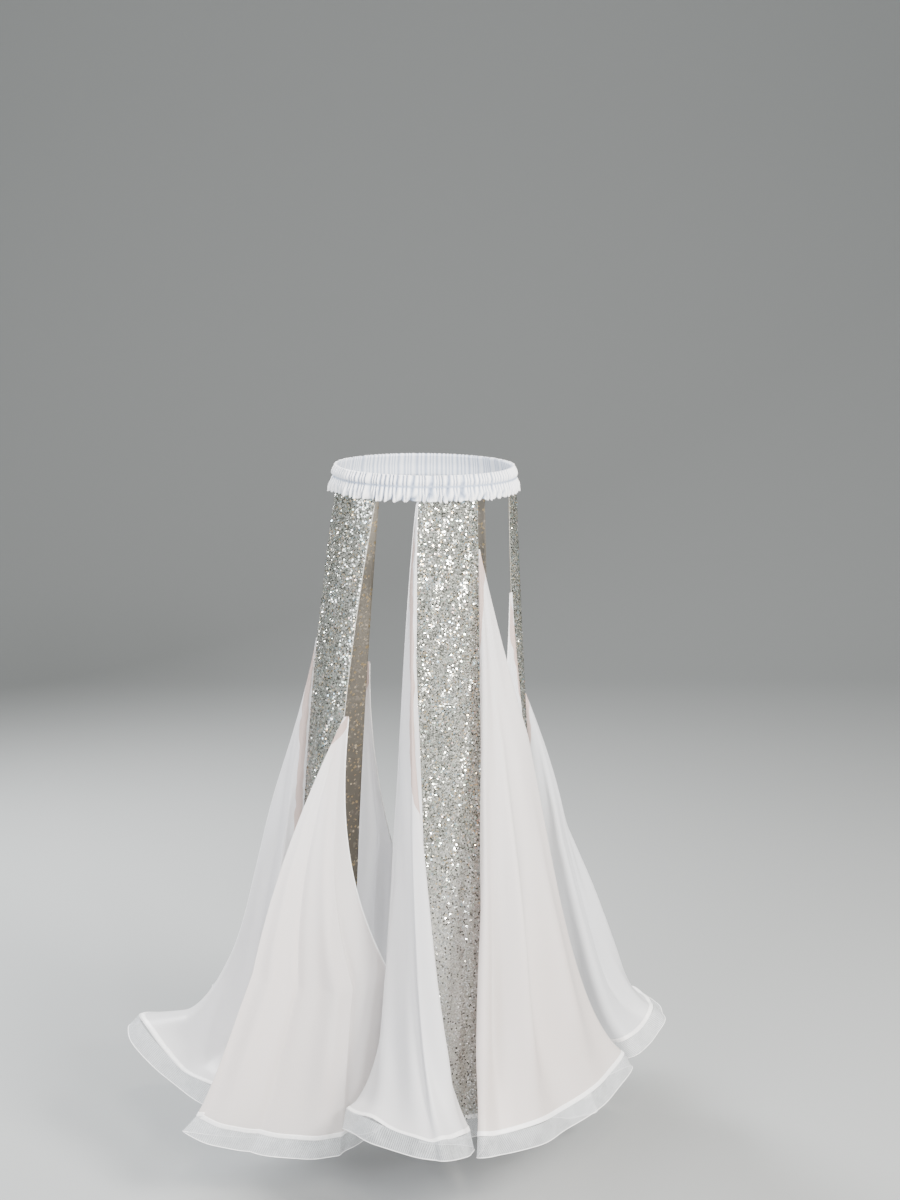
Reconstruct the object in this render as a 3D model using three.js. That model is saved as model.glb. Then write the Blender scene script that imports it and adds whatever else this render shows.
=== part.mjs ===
// Belly dance skirt: a gathered elastic waistband carries five sequin panels with open slits between them.
// Two sheer flared godets fill the lower part of each gap, and a stiff horsehair braid edges the whole hem.
// Millimetres, +Z up, front toward -Y, the wearer's right toward -X, origin at the centre of the waistband.
import * as THREE from 'three';

// Figure that the skirt hangs on: an ellipse at the waistband and a wider one at the hips.
const WAIST_HALF_WIDTH = 131;
const WAIST_HALF_DEPTH = 100;
const HIP_HALF_WIDTH = 160;
const HIP_HALF_DEPTH = 120;
const HIP_SHIFT = -12; // the weight rests on the right hip
const HIP_STATION = 0.38; // share of the cloth's length at which the hip ellipse is met
const FRONT_DIP = 10; // the band sits this much lower at the front, and higher at the back

// Waistband: an elastic casing with two channels.
const BAND_HEIGHT = 33;
const BAND_WALL = 3;
const CHANNEL_SWELL = 1.4; // each channel swells out past the stitched line between the two
const BAND_TURN_IN = 4; // the upper channel leans in by this much
const BAND_SEGMENTS = 48;

// Cloth lengths run down along the cloth, from the band to the hem seam.
const CLOTH_LENGTH = 872;
const BRAID_WIDTH = 26;
const PANEL_WALL = 1.4;
const GODET_WALL = 1;
const BRAID_WALL = 1;
const SEAM_GAP = 0.3;
const FACET_ALLOWANCE = 0.1; // extra clearance where flat facets cut the corners of curved walls
const THREAD_STEPS = 24; // steps between two stations when the fall of a thread is summed
const STATIONS = [0, 0.1, 0.2, 0.3, 0.4, 0.5, 0.6, 0.7, 0.79, 0.87, 0.94, 1];

// Sequin panels in order round the body. Angles are degrees from the front toward the wearer's left.
// waist and half: middle and half width on the waist ellipse. hipOut: how far the panel's edge of higher
// angle stands off the hip ellipse. hemAngle and hemReach: middle of the hem.
const PANEL_HEM_WIDTH = 98;
const PANEL_HEM_SAG = 5;
const PANELS = [
  { name: 'front', waist: 1.5, half: 19, hipOut: 2, hemAngle: -4, hemReach: 156 },
  { name: 'left', waist: 73, half: 21, hipOut: 0, hemAngle: 91, hemReach: 190 },
  { name: 'back_left', waist: 145, half: 20.5, hipOut: 0, hemAngle: 145, hemReach: 180 },
  { name: 'back_right', waist: 218, half: 20.5, hipOut: 0, hemAngle: 217, hemReach: 180 },
  { name: 'right', waist: 293, half: 22.5, hipOut: 27, hemAngle: 285, hemReach: 185 },
];

// Gaps in the same order, each from one panel to the next. The two godets of a gap are joined to each
// other below the slit, whose foot is at slitFoot. joint: its angle at the waist and hips. hemAngle and
// hemReach: the joint at the hem.
const GAPS = [
  { slitFoot: 0.4, joint: 36, hemAngle: 48, hemReach: 150 }, // front left
  { slitFoot: 0.62, joint: 109, hemAngle: 117, hemReach: 150 }, // side left
  { slitFoot: 0.66, joint: 181, hemAngle: 181, hemReach: 150 }, // back
  { slitFoot: 0.6, joint: 254, hemAngle: 251, hemReach: 150 }, // side right
  { slitFoot: 0.76, joint: 336, hemAngle: 315, hemReach: 123 }, // front right
];

// Godets, two for each gap: 1 is sewn to the gap's first panel and 2 to the next one.
// start: where its point begins. stretch: length of its middle threads against the cloth's.
// Each hem passes through three points, the panel flank, the crest and the joint flank, as [angle, reach].
// crisp: 0 is a round fold and 1 a pressed one. fall: power with which the folds grow.
// kick: share of their reach that comes only near the hem, and jointKick the same for the joint flank.
// free: power with which the free edge beside the slit leaves the panel.
const GODETS = [
  { name: 'front_left_1', start: 0.08, stretch: 0.985, panelFlank: [-1.6, 272], crest: [23.4, 262],
    jointFlank: [66, 292], crisp: 0.1, fall: 1, kick: 0.25, jointKick: 0.25, free: 1.2 },
  { name: 'front_left_2', start: 0.16, stretch: 1.07, panelFlank: [74.2, 232], crest: [71.1, 246],
    jointFlank: [62.6, 199], crisp: 0.3, fall: 1.2, kick: 0.2, jointKick: 0.2, free: 1.2 },
  { name: 'side_left_1', start: 0.33, stretch: 0.995, panelFlank: [77, 296], crest: [88, 362],
    jointFlank: [104, 345], crisp: 0.1, fall: 0.95, kick: 0.2, jointKick: 0.2, free: 2 },
  { name: 'side_left_2', start: 0.3, stretch: 1.01, panelFlank: [138, 330], crest: [126, 400],
    jointFlank: [118, 290], crisp: 0.2, fall: 1.2, kick: 0.25, jointKick: 0.25, free: 1.6 },
  { name: 'back_1', start: 0.28, stretch: 1, panelFlank: [148, 320], crest: [159, 390],
    jointFlank: [170, 310], crisp: 0.1, fall: 1.1, kick: 0.3, jointKick: 0.3, free: 1.8 },
  { name: 'back_2', start: 0.32, stretch: 1.01, panelFlank: [206, 320], crest: [195, 405],
    jointFlank: [181, 310], crisp: 0.2, fall: 1.2, kick: 0.25, jointKick: 0.25, free: 1.5 },
  { name: 'side_right_1', start: 0.3, stretch: 1.02, panelFlank: [216, 300], crest: [225, 380],
    jointFlank: [234, 300], crisp: 0.1, fall: 1.1, kick: 0.3, jointKick: 0.3, free: 2 },
  { name: 'side_right_2', start: 0.24, stretch: 1.005, panelFlank: [280, 335], crest: [254, 425],
    jointFlank: [243, 290], crisp: 0.1, fall: 1.3, kick: 0.4, jointKick: 0.4, free: 1.6 },
  { name: 'front_right_1', start: 0.345, stretch: 1.03, panelFlank: [284.7, 371], crest: [292.6, 298],
    jointFlank: [308.5, 208], crisp: 0.7, fall: 1, kick: 0.05, jointKick: 0.05, free: 2.5 },
  { name: 'front_right_2', start: 0, stretch: 0.98, panelFlank: [-3.1, 242], crest: [-14.9, 325],
    jointFlank: [-41.6, 259], crisp: 0.2, fall: 1.25, kick: 0.35, jointKick: 0.85, free: 0.6 },
];
const POINT_SHARE = 0.08; // the point of a godet is cut off flat, at this share of the gap's half width
const KICK_POWER = 10;
const BRAID_FLARE = 2; // slope of the folds' growth down the braid
const PANEL_SPANS = 4;
const GODET_SPANS = 12;
const LEAST_STEP = 0.02; // shortest step from a godet's point to the next station
const HALVINGS = 12;
const LEAST_LIFT = 2.5; // a godet arches out of the seam by this much even at its point
const LEAST_FALL = 0.1; // a thread drops by at least this share of its length
const END_QUARTER = 0.25; // a godet's outer columns are sought within this share of its width
const LEAST_SINE = 0.3; // bounds the clearance of walls that meet at a very sharp angle
const LONGEST_MITRE = 6; // against half the wall

const radians = THREE.MathUtils.degToRad;

function polar(angle, reach) {
  return new THREE.Vector2(reach * Math.sin(radians(angle)), -reach * Math.cos(radians(angle)));
}

function waistPoint(angle) {
  return new THREE.Vector2(
    WAIST_HALF_WIDTH * Math.sin(radians(angle)),
    -WAIST_HALF_DEPTH * Math.cos(radians(angle)),
  );
}

function hipPoint(angle) {
  return new THREE.Vector2(
    HIP_SHIFT + HIP_HALF_WIDTH * Math.sin(radians(angle)),
    -HIP_HALF_DEPTH * Math.cos(radians(angle)),
  );
}

// Height of the waist seam round the body.
function seamHeight(angle) {
  return -FRONT_DIP * Math.cos(radians(angle)) - BAND_HEIGHT / 2 - SEAM_GAP;
}

// The one parabola in share that passes through the waist, hip and hem points.
function hang(waist, hip, hem, share) {
  const atWaist = ((share - HIP_STATION) * (share - 1)) / HIP_STATION;
  const atHip = (share * (share - 1)) / (HIP_STATION * (HIP_STATION - 1));
  const atHem = (share * (share - HIP_STATION)) / (1 - HIP_STATION);
  return waist.clone().multiplyScalar(atWaist).addScaledVector(hip, atHip).addScaledVector(hem, atHem);
}

// Plan of a panel: across is 0 at its edge of lower angle and 1 at the other.
function panelPlan(panel, across, share) {
  const angle = panel.waist + (2 * across - 1) * panel.half;
  const outward = polar(panel.hemAngle, 1);
  const sideways = new THREE.Vector2(-outward.y, outward.x);
  const hem = polar(panel.hemAngle, panel.hemReach)
    .addScaledVector(sideways, (across - 0.5) * PANEL_HEM_WIDTH)
    .addScaledVector(outward, PANEL_HEM_SAG * (1 - (2 * across - 1) ** 2));
  const hip = hipPoint(angle).addScaledVector(polar(panel.waist, 1), panel.hipOut * across);
  return hang(waistPoint(angle), hip, hem, share);
}

// A godet's gap, the edge that it is sewn to and the joint with its neighbour.
function godetPlace(index) {
  const gapIndex = Math.floor(index / 2);
  const first = index % 2 === 0;
  const panel = PANELS[first ? gapIndex : (gapIndex + 1) % PANELS.length];
  const partner = GODETS[first ? index + 1 : index - 1];
  return { gap: GAPS[gapIndex], panel, edge: first ? 1 : 0, partner };
}

function jointPlan(gap, share) {
  const hem = polar(gap.hemAngle, gap.hemReach);
  return hang(waistPoint(gap.joint), hipPoint(gap.joint), hem, share);
}

// Cubic curve through the knots, each tangent set by the knots beside it and shortened by crisp.
function curvePoint(knots, crisp, across) {
  const last = knots.length - 1;
  const span = Math.min(Math.floor(across * last), last - 1);
  const t = across * last - span;
  const tangent = (i) => {
    const ahead = knots[Math.min(i + 1, last)];
    const behind = knots[Math.max(i - 1, 0)];
    const reach = i === 0 || i === last ? 1 : 0.5;
    return ahead.clone().sub(behind).multiplyScalar(reach * (1 - crisp));
  };
  return knots[span].clone().multiplyScalar(2 * t ** 3 - 3 * t ** 2 + 1)
    .addScaledVector(tangent(span), t ** 3 - 2 * t ** 2 + t)
    .addScaledVector(knots[span + 1], 3 * t ** 2 - 2 * t ** 3)
    .addScaledVector(tangent(span + 1), t ** 3 - t ** 2);
}

// Growth of a fold from 0 at the godet's point to 1 at the hem, and on at a steady slope down the braid.
function growth(grown, godet, kick) {
  if (grown > 1) return 1 + BRAID_FLARE * (grown - 1);
  return (1 - kick) * grown ** godet.fall + kick * grown ** KICK_POWER;
}

// Plan of a godet: across is 0 at its panel and 1 at the free edge, or the joint below the slit.
function godetPlan(godet, place, across, share) {
  const seam = panelPlan(place.panel, place.edge, share);
  const joint = jointPlan(place.gap, share);
  const down = Math.max(share - godet.start, 0) / (place.gap.slitFoot - godet.start);
  const opened = POINT_SHARE + (1 - POINT_SHARE) * Math.min(down, 1) ** godet.free;
  const free = seam.clone().lerp(joint, opened);
  const grown = Math.max(share - godet.start, 0) / (1 - godet.start);
  const seamHem = panelPlan(place.panel, place.edge, 1);
  const outward = polar(place.panel.waist, 1);
  const jointHem = jointPlan(place.gap, 1);
  const folds = [godet.panelFlank, godet.crest, godet.jointFlank].map(([angle, reach], i) => {
    const along = (i + 1) / 4;
    const flat = seamHem.clone().lerp(jointHem, along);
    const bulge = polar(angle, reach).sub(flat);
    const size = growth(grown, godet, i === 2 ? godet.jointKick : godet.kick);
    return seam.clone().lerp(free, along).addScaledVector(bulge, size).addScaledVector(outward, LEAST_LIFT);
  });
  return curvePoint([seam, ...folds, free], godet.crisp, across);
}

// Falls of one thread at the given stations: it keeps its length, so it drops less where it runs outward.
function threadHeights(plan, top, length, from, stations) {
  const heights = [];
  let z = top;
  let share = from;
  let here = plan(share);
  for (const station of stations) {
    const step = (station - share) / THREAD_STEPS;
    for (let i = 0; i < THREAD_STEPS && step > 0; i++) {
      share += step;
      const next = plan(share);
      const run = next.distanceTo(here);
      z -= Math.sqrt(Math.max((step * length) ** 2 - run ** 2, (LEAST_FALL * step * length) ** 2));
      here = next;
    }
    heights.push(z);
  }
  return heights;
}

function panelHeights(panel, across, stations) {
  const angle = panel.waist + (2 * across - 1) * panel.half;
  const plan = (share) => panelPlan(panel, across, share);
  return threadHeights(plan, seamHeight(angle), CLOTH_LENGTH, 0, stations);
}

// Rows of points down a panel.
function panelRows(panel, stations) {
  const columns = [];
  for (let i = 0; i <= PANEL_SPANS; i++) {
    const across = i / PANEL_SPANS;
    const heights = panelHeights(panel, across, stations);
    columns.push(stations.map((share, row) => {
      const point = panelPlan(panel, across, share);
      return new THREE.Vector3(point.x, point.y, heights[row]);
    }));
  }
  return stations.map((share, row) => columns.map((column) => column[row]));
}

// How far a godet starts from its panel's edge, so that the two walls stay a seam's gap apart.
function panelInset(godet, place, share) {
  const edge = panelPlan(place.panel, place.edge, share);
  const inward = place.edge === 0 ? 1 / PANEL_SPANS : 1 - 1 / PANEL_SPANS;
  const panelWay = panelPlan(place.panel, inward, share).sub(edge).normalize();
  const godetWay = godetPlan(godet, place, 1 / GODET_SPANS, share).sub(edge).normalize();
  const cosine = panelWay.dot(godetWay);
  const sine = Math.abs(panelWay.cross(godetWay));
  const clearance = PANEL_WALL / 2 + FACET_ALLOWANCE;
  if (cosine < 0) return SEAM_GAP + clearance * sine;
  return (clearance + SEAM_GAP + (GODET_WALL / 2) * cosine) / Math.max(sine, LEAST_SINE);
}

// How far a godet stops from the joint, so that its wall keeps to its own side of the fold's middle plane.
function jointInset(godet, place, share) {
  const slit = share < place.gap.slitFoot;
  if (slit) return SEAM_GAP / 2;
  const joint = jointPlan(place.gap, share);
  const before = 1 - 1 / GODET_SPANS;
  const partnerPlace = godetPlace(GODETS.indexOf(place.partner));
  const ownWay = godetPlan(godet, place, before, share).sub(joint).normalize();
  const otherWay = godetPlan(place.partner, partnerPlace, before, share).sub(joint).normalize();
  const half = Math.acos(THREE.MathUtils.clamp(ownWay.dot(otherWay), -1, 1)) / 2;
  const clearance = (GODET_WALL / 2 + FACET_ALLOWANCE) * Math.cos(half);
  return (SEAM_GAP / 2 + clearance) / Math.max(Math.sin(half), LEAST_SINE / 2);
}

// Place across a curve, within its nearer quarter, that lies at a distance from the curve's given end.
function placeAtDistance(plan, end, distance) {
  const origin = plan(end);
  let near = end;
  let far = end === 0 ? END_QUARTER : 1 - END_QUARTER;
  for (let i = 0; i < HALVINGS; i++) {
    const middle = (near + far) / 2;
    if (plan(middle).distanceTo(origin) < distance) near = middle;
    else far = middle;
  }
  return far;
}

// Rows of points down a godet, from its point to the hem and on to the braid's foot.
function godetRows(godet, index, stations) {
  const place = godetPlace(index);
  const [top] = panelHeights(place.panel, place.edge, [godet.start]);
  const spans = stations.map((share) => {
    const plan = (across) => godetPlan(godet, place, across, share);
    const from = placeAtDistance(plan, 0, panelInset(godet, place, share));
    return { from, to: placeAtDistance(plan, 1, jointInset(godet, place, share)) };
  });
  const fall = (across) => {
    const midway = 1 - (2 * across - 1) ** 2; // 0 at both edges and 1 in the middle
    const length = CLOTH_LENGTH * (1 + (godet.stretch - 1) * midway);
    const plan = (share) => godetPlan(godet, place, across, share);
    return threadHeights(plan, top, length, godet.start, stations);
  };
  // The outer threads are drawn to the heights of the seam and the joint, and those between follow in part.
  const seamFall = fall(0);
  const jointFall = fall(1);
  const seam = panelHeights(place.panel, place.edge, stations);
  const joint = threadHeights((share) => jointPlan(place.gap, share), seamHeight(place.gap.joint),
    CLOTH_LENGTH, 0, stations);
  const columns = [];
  for (let i = 0; i <= GODET_SPANS; i++) {
    const across = i / GODET_SPANS;
    const heights = fall(across);
    columns.push(stations.map((share, row) => {
      const { from, to } = spans[row];
      const point = godetPlan(godet, place, from + (to - from) * across, share);
      const closed = Math.min((share - godet.start) / (place.gap.slitFoot - godet.start), 1);
      const seamDraw = (1 - across) * (seam[row] - seamFall[row]);
      const jointDraw = across * closed * (joint[row] - jointFall[row]);
      return new THREE.Vector3(point.x, point.y, heights[row] + seamDraw + jointDraw);
    }));
  }
  return stations.map((share, row) => columns.map((column) => column[row]));
}

// Each point's offsets to the wall's two faces. Inside a fold the offset is the longer one of a mitre.
function wallOffsets(rows) {
  const lastRow = rows.length - 1;
  const last = rows[0].length - 1;
  return rows.map((row, r) => row.map((point, c) => {
    const down = rows[Math.min(r + 1, lastRow)][c].clone().sub(rows[Math.max(r - 1, 0)][c]);
    const ahead = row[Math.min(c + 1, last)].clone().sub(point);
    const behind = row[Math.max(c - 1, 0)].clone().sub(point);
    const normal = down.cross(ahead.clone().sub(behind)).normalize();
    if (c === 0 || c === last) return { front: normal, back: normal };
    const half = ahead.angleTo(behind) / 2;
    const mitred = normal.clone().multiplyScalar(Math.min(1 / Math.sin(half), LONGEST_MITRE));
    const foldsForward = ahead.normalize().add(behind.normalize()).dot(normal) > 0;
    return foldsForward ? { front: mitred, back: normal } : { front: normal, back: mitred };
  }));
}

// Closed wall of even thickness on both sides of a grid of points.
function wall(rows, offsets, thickness) {
  const height = rows.length;
  const width = rows[0].length;
  const positions = [];
  for (const [face, side] of [['front', 0.5], ['back', -0.5]]) {
    for (let r = 0; r < height; r++) {
      for (let c = 0; c < width; c++) {
        const point = rows[r][c].clone().addScaledVector(offsets[r][c][face], side * thickness);
        positions.push(point.x, point.y, point.z);
      }
    }
  }
  const inner = width * height;
  const faces = [];
  const quad = (a, b, c, d) => faces.push(a, b, c, a, c, d);
  for (let r = 0; r < height - 1; r++) {
    for (let c = 0; c < width - 1; c++) {
      const corner = r * width + c;
      quad(corner, corner + width, corner + width + 1, corner + 1);
      quad(inner + corner, inner + corner + 1, inner + corner + width + 1, inner + corner + width);
    }
  }
  const rim = [];
  for (let c = 0; c < width; c++) rim.push(c);
  for (let r = 1; r < height; r++) rim.push(r * width + width - 1);
  for (let c = width - 2; c >= 0; c--) rim.push((height - 1) * width + c);
  for (let r = height - 2; r > 0; r--) rim.push(r * width);
  rim.forEach((here, i) => {
    const next = rim[(i + 1) % rim.length];
    quad(here, next, inner + next, inner + here);
  });
  return closedGeometry(positions, faces);
}

function closedGeometry(positions, faces) {
  const geometry = new THREE.BufferGeometry();
  geometry.setAttribute('position', new THREE.Float32BufferAttribute(positions, 3));
  geometry.setIndex(faces);
  return geometry;
}

// The cloth of a grid whose last row is the braid's foot, and the braid that hangs a seam's gap below it.
function clothAndBraid(rows, thickness) {
  const offsets = wallOffsets(rows);
  const hem = rows.length - 2;
  const foot = rows.length - 1;
  const cloth = wall(rows.slice(0, foot), offsets.slice(0, foot), thickness);
  const braidTop = rows[hem].map((point, c) => {
    const down = rows[foot][c].clone().sub(point).normalize();
    return point.clone().addScaledVector(down, SEAM_GAP);
  });
  const braid = wall([braidTop, rows[foot]], [offsets[hem], offsets[foot]], BRAID_WALL);
  return { cloth, braid };
}

// Casing ring: its profile runs round the wall, and the upper channel leans in.
function bandGeometry() {
  const half = BAND_HEIGHT / 2;
  const quarter = half / 2;
  const profile = [
    { out: BAND_WALL / 2, up: -half },
    { out: BAND_WALL / 2 + CHANNEL_SWELL, up: -quarter },
    { out: BAND_WALL / 2, up: 0 },
    { out: BAND_WALL / 2 + CHANNEL_SWELL - BAND_TURN_IN / 2, up: quarter },
    { out: BAND_WALL / 2 - BAND_TURN_IN, up: half },
    { out: -BAND_WALL / 2 - BAND_TURN_IN, up: half },
    { out: -BAND_WALL / 2, up: 0 },
    { out: -BAND_WALL / 2, up: -half },
  ];
  const positions = [];
  const faces = [];
  const count = profile.length;
  for (let i = 0; i < BAND_SEGMENTS; i++) {
    const angle = (360 * i) / BAND_SEGMENTS;
    const middle = waistPoint(angle);
    const outward = new THREE.Vector2(middle.x / WAIST_HALF_WIDTH ** 2, middle.y / WAIST_HALF_DEPTH ** 2);
    outward.normalize();
    for (const { out, up } of profile) {
      const z = up - FRONT_DIP * Math.cos(radians(angle));
      positions.push(middle.x + outward.x * out, middle.y + outward.y * out, z);
    }
    const here = i * count;
    const next = ((i + 1) % BAND_SEGMENTS) * count;
    for (let j = 0; j < count; j++) {
      const k = (j + 1) % count;
      faces.push(here + j, next + j, next + k, here + j, next + k, here + k);
    }
  }
  return closedGeometry(positions, faces);
}

const skirt = new THREE.Group();
skirt.name = 'belly_dance_skirt';

function addPiece(name, geometry, colour, roughness, metalness) {
  const material = new THREE.MeshStandardMaterial({ color: colour, roughness, metalness });
  const piece = new THREE.Mesh(geometry, material);
  piece.name = name;
  skirt.add(piece);
}

function addCloth(name, rows, thickness, look) {
  const { cloth, braid } = clothAndBraid(rows, thickness);
  addPiece(name, cloth, look.colour, look.roughness, look.metalness);
  addPiece(`braid_${name}`, braid, '#dfe4ea', 0.35, 0);
}

const braidFoot = 1 + (SEAM_GAP + BRAID_WIDTH) / CLOTH_LENGTH;
const sequins = { colour: '#b9bcc0', roughness: 0.3, metalness: 0.7 };
const chiffon = { colour: '#f4f5f8', roughness: 0.6, metalness: 0 };

addPiece('waistband', bandGeometry(), '#f2f4f8', 0.55, 0);
for (const panel of PANELS) {
  addCloth(`panel_${panel.name}`, panelRows(panel, [...STATIONS, braidFoot]), PANEL_WALL, sequins);
}
GODETS.forEach((godet, index) => {
  const below = STATIONS.filter((share) => share > godet.start + LEAST_STEP);
  const rows = godetRows(godet, index, [godet.start, ...below, braidFoot]);
  addCloth(`godet_${godet.name}`, rows, GODET_WALL, chiffon);
});

export default skirt;
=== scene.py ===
"""Belly dance skirt, set up as an add-on: gathered waistband, sequin panels, chiffon godets, braided hem.

Sizes are in millimetres until a mesh is made, and the meshes are in metres. +Z is up, -Y is the front and
-X is the wearer's right. The origin is the centre of the waistband.
"""

import math
from functools import partial

import bpy
import numpy as np
from bpy.props import FloatProperty, IntProperty, PointerProperty
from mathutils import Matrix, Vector


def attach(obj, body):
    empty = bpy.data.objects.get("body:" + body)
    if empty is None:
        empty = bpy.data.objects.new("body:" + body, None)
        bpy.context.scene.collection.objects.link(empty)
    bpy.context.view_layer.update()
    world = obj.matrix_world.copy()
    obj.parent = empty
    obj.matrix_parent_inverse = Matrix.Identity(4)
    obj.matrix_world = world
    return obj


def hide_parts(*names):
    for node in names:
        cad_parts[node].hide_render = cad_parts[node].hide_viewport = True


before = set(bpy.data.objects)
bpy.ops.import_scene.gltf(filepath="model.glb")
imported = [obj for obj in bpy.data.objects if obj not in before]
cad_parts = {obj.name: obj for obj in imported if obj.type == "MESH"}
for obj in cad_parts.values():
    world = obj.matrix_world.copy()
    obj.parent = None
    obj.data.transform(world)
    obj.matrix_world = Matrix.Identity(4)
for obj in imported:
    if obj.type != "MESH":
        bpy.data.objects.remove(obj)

bl_info = {
    "name": "Belly Dance Skirt",
    "version": (1, 0, 0),
    "blender": (4, 5, 0),
    "location": "3D View > Sidebar > Skirt",
    "description": "Builds the cloth, sequins, braid and stage of a belly dance skirt",
    "category": "Object",
}

MM = 0.001

# Figure that the skirt hangs on.
WAIST_HALF_WIDTH = 131
WAIST_HALF_DEPTH = 100
HIP_HALF_WIDTH = 160
HIP_HALF_DEPTH = 120
HIP_SHIFT = -12
HIP_STATION = 0.38
FRONT_DIP = 10

BAND_HEIGHT = 33
BAND_WALL = 3
CHANNEL_SWELL = 1.4
STITCH_AT = 0.47
STITCH_SPREAD = 0.05
FRILL_FROM = 0.56
FRILL_PITCH = 0.52
GATHER_SLANT = 2.4
GATHER_WAVES = 14
GATHER_MIDDLE = 0.6
GATHER_ROUND = 0.8
BAND_TURN_IN = 4

CLOTH_LENGTH = 872
BRAID_WIDTH = 26
SEAM_GAP = 0.3
BRAID_FOOT = 1 + (SEAM_GAP + BRAID_WIDTH) / CLOTH_LENGTH
PANEL_HEM_WIDTH = 98
PANEL_HEM_SAG = 5
POINT_SHARE = 0.08
KICK_POWER = 10
BRAID_FLARE = 2
LEAST_LIFT = 2.5
LEAST_FALL = 0.1
THREAD_SAMPLES = 480


def table(fields, *rows):
    """Rows of a table as dictionaries."""
    return [dict(zip(fields.split(), row)) for row in rows]


# waist and half: middle and half width at the waist (degrees). hip_out: stand-off at the hip at the edge of
# higher angle (mm). hem_angle and hem_reach: middle of the hem (degrees, mm).
PANELS = table(
    "name waist half hip_out hem_angle hem_reach",
    ("front", 1.5, 19, 2, -4, 156),
    ("left", 73, 21, 0, 91, 190),
    ("back_left", 145, 20.5, 0, 145, 180),
    ("back_right", 218, 20.5, 0, 217, 180),
    ("right", 293, 22.5, 27, 285, 185),
)

# foot: share of the cloth's length where the slit ends. joint: its angle at the waist and hip.
GAPS = table(
    "foot joint hem_angle hem_reach",
    (0.4, 36, 48, 150),
    (0.62, 109, 117, 150),
    (0.66, 181, 181, 150),
    (0.6, 254, 251, 150),
    (0.76, 336, 315, 123),
)

# Godets, two for each gap. start: share of the length at its point. stretch: length of its middle threads.
# folds: the panel flank, crest and joint flank at the hem (degrees, mm). crisp: how sharp the folds are.
# fall, kick, joint_kick and free: how the folds and the slit's edge open down the cloth. warm: strength of
# the painted yellowish tint that stands in for gold light from the figure behind the cloth. cut: width,
# length and area of the flat cut (m, m, m2). allowance: the seam allowance shows 11 mm beyond this share
# across, which is 0 at the panel's edge.
GODETS = table(
    "name start stretch folds crisp fall kick joint_kick free warm cut allowance",
    ("front_left_1", 0.08, 0.985, ((-1.6, 272), (23.4, 262), (66, 292)),
     0.1, 1, 0.25, 0.25, 1.2, 0.8, (0.61, 0.8, 0.193), 0),
    ("front_left_2", 0.16, 1.07, ((74.2, 232), (71.1, 246), (62.6, 199)),
     0.3, 1.2, 0.2, 0.2, 1.2, 0.3, (0.205, 0.75, 0.056), 0),
    ("side_left_1", 0.33, 0.995, ((77, 296), (88, 362), (104, 345)),
     0.1, 0.95, 0.2, 0.2, 2, 0.1, (0.575, 0.6, 0.144), 0),
    ("side_left_2", 0.3, 1.01, ((138, 330), (126, 400), (118, 290)),
     0.2, 1.2, 0.25, 0.25, 1.6, 0.2, (0.55, 0.63, 0.12), 0),
    ("back_1", 0.28, 1, ((148, 320), (159, 390), (170, 310)),
     0.1, 1.1, 0.3, 0.3, 1.8, 0.3, (0.555, 0.63, 0.123), 0),
    ("back_2", 0.32, 1.01, ((206, 320), (195, 405), (181, 310)),
     0.2, 1.2, 0.25, 0.25, 1.5, 0.3, (0.57, 0.6, 0.122), 0),
    ("side_right_1", 0.3, 1.02, ((216, 300), (225, 380), (234, 300)),
     0.1, 1.1, 0.3, 0.3, 2, 0.2, (0.515, 0.62, 0.112), 0),
    ("side_right_2", 0.24, 1.005, ((280, 335), (254, 425), (243, 290)),
     0.1, 1.3, 0.4, 0.4, 1.6, 0.25, (0.67, 0.65, 0.132), 0),
    ("front_right_1", 0.345, 1.03, ((284.7, 371), (292.6, 298), (308.5, 208)),
     0.7, 1, 0.05, 0.05, 2.5, 0.65, (0.49, 0.59, 0.142), 0),
    ("front_right_2", 0, 0.98, ((-3.1, 242), (-14.9, 325), (-41.6, 259)),
     0.2, 1.25, 0.35, 0.85, 0.6, 0.25, (0.5, 0.86, 0.13), 0.375),
)

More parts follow.
